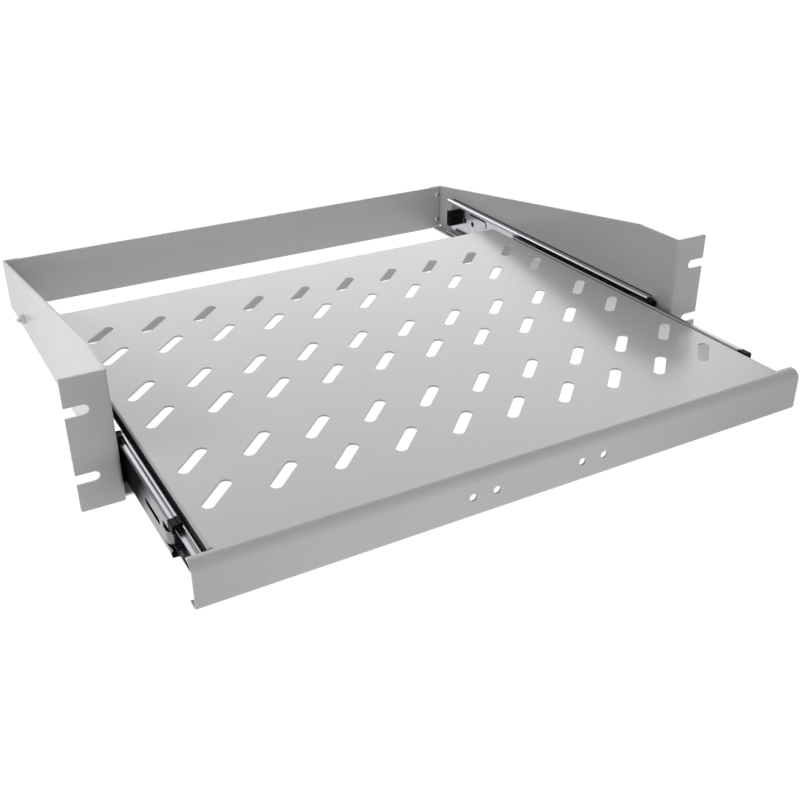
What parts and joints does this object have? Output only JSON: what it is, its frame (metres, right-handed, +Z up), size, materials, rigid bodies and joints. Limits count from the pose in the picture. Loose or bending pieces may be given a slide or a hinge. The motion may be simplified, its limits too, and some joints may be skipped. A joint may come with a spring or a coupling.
{
  "type": "pull-out rack shelf",
  "caption": "Pull-out rack shelf: a slotted sheet-steel tray on telescopic ball-bearing slides, in a fixed frame with tapered side plates and slotted rack ears.",
  "frame": {"origin": "centre of the plane where the backs of the ears meet the rack, midway between the ears and at half the panel height", "axes": "+X to the right as seen from the front, +Y into the rack, +Z up; the shelf pulls out along -Y"},
  "size_m": [0.4826, 0.4695, 0.0882],
  "materials": {
    "grey_paint": "light grey fine-texture powder coat",
    "zinc_plate": "bright zinc plate on rolled steel",
    "cage_steel": "dull zinc-plated strip",
    "ball_steel": "polished bearing steel",
    "black_plastic": "moulded black plastic",
    "fastener_zinc": "bright zinc plate",
    "rivet_aluminium": "plain aluminium"
  },
  "bodies": {
    "frame": {"left_side_plate": "grey_paint", "right_side_plate": "grey_paint", "left_cabinet_rail": "zinc_plate", "right_cabinet_rail": "zinc_plate", "left_fixing_screws": "fastener_zinc", "right_fixing_screws": "fastener_zinc", "left_fixing_nuts": "fastener_zinc", "right_fixing_nuts": "fastener_zinc", "left_rail_front_piece": "black_plastic", "right_rail_front_piece": "black_plastic", "left_rear_bumper": "black_plastic", "right_rear_bumper": "black_plastic", "rear_crossbar": "grey_paint", "crossbar_rivets": "rivet_aluminium"},
    "right_slide_middle": {"right_middle_rail": "zinc_plate", "right_middle_end_pieces": "black_plastic"},
    "right_outer_cage": {"right_outer_ball_cage": "cage_steel", "right_outer_balls": "ball_steel"},
    "right_inner_cage": {"right_inner_ball_cage": "cage_steel", "right_inner_balls": "ball_steel"},
    "left_slide_middle": {"left_middle_rail": "zinc_plate", "left_middle_end_pieces": "black_plastic"},
    "left_outer_cage": {"left_outer_ball_cage": "cage_steel", "left_outer_balls": "ball_steel"},
    "left_inner_cage": {"left_inner_ball_cage": "cage_steel", "left_inner_balls": "ball_steel"},
    "shelf": {"shelf_tray": "grey_paint", "left_inner_rail": "zinc_plate", "right_inner_rail": "zinc_plate", "left_shelf_screws": "fastener_zinc", "right_shelf_screws": "fastener_zinc", "left_shelf_nuts": "fastener_zinc", "right_shelf_nuts": "fastener_zinc"}
  },
  "joints": [
    {"name": "right_middle_slide", "type": "slide", "parent": "frame", "child": "right_slide_middle", "axis": [0, -1, 0], "range_m": [-0.104, 0.046]},
    {"name": "left_middle_slide", "type": "slide", "parent": "frame", "child": "left_slide_middle", "axis": [0, -1, 0], "range_m": [-0.104, 0.046]},
    {"name": "shelf_slide", "type": "slide", "parent": "right_slide_middle", "child": "shelf", "axis": [0, -1, 0], "range_m": [-0.006, 0.144]},
    {"name": "right_outer_cage_roll", "type": "slide", "parent": "frame", "child": "right_outer_cage", "axis": [0, -1, 0], "range_m": [-0.052, 0.023]},
    {"name": "left_outer_cage_roll", "type": "slide", "parent": "frame", "child": "left_outer_cage", "axis": [0, -1, 0], "range_m": [-0.052, 0.023]},
    {"name": "right_inner_cage_roll", "type": "slide", "parent": "right_slide_middle", "child": "right_inner_cage", "axis": [0, -1, 0], "range_m": [-0.003, 0.072]},
    {"name": "left_inner_cage_roll", "type": "slide", "parent": "left_slide_middle", "child": "left_inner_cage", "axis": [0, -1, 0], "range_m": [-0.003, 0.072]}
  ],
  "couplings": [
    {"joint": "left_middle_slide", "follows": "right_middle_slide", "ratio": 1},
    {"joint": "right_outer_cage_roll", "follows": "right_middle_slide", "ratio": 0.5},
    {"joint": "left_outer_cage_roll", "follows": "right_middle_slide", "ratio": 0.5},
    {"joint": "right_inner_cage_roll", "follows": "shelf_slide", "ratio": 0.5},
    {"joint": "left_inner_cage_roll", "follows": "shelf_slide", "ratio": 0.5}
  ]
}
